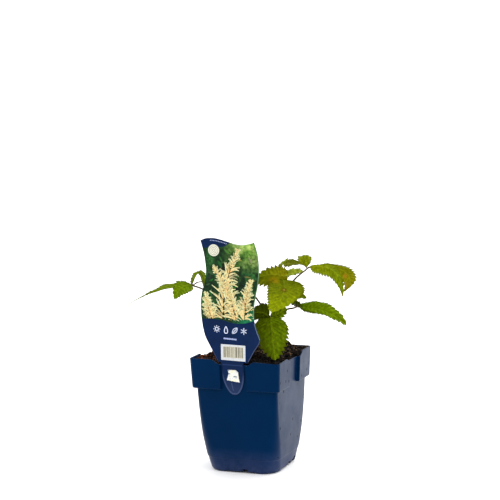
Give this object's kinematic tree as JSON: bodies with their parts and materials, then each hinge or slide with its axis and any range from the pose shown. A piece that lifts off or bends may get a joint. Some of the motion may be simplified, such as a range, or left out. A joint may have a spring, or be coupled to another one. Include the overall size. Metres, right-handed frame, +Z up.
{
  "type": "potted goats beard",
  "caption": "Young goats beard plant with compound saw-edged leaves on thin stalks, growing in a square nursery pot with a clip-on plant label",
  "frame": {"origin": "middle of the pot's underside, on the plane that the pot stands on", "axes": "+Z up, -Y towards the side of the pot that the label hangs on, +X to the right seen from there"},
  "size_m": [0.2464, 0.1474, 0.2722],
  "materials": {
    "pot": "satin",
    "soil": "rough",
    "label": "satin",
    "sticker": "matte",
    "leaf": "satin"
  },
  "bodies": {
    "root": {"pot": "pot", "soil": "soil", "label": "label", "label_sticker": "sticker", "leaf_left": "leaf", "leaf_upper_right": "leaf", "leaf_centre": "leaf", "leaf_lower_right": "leaf", "leaf_front": "leaf"}
  },
  "joints": []
}
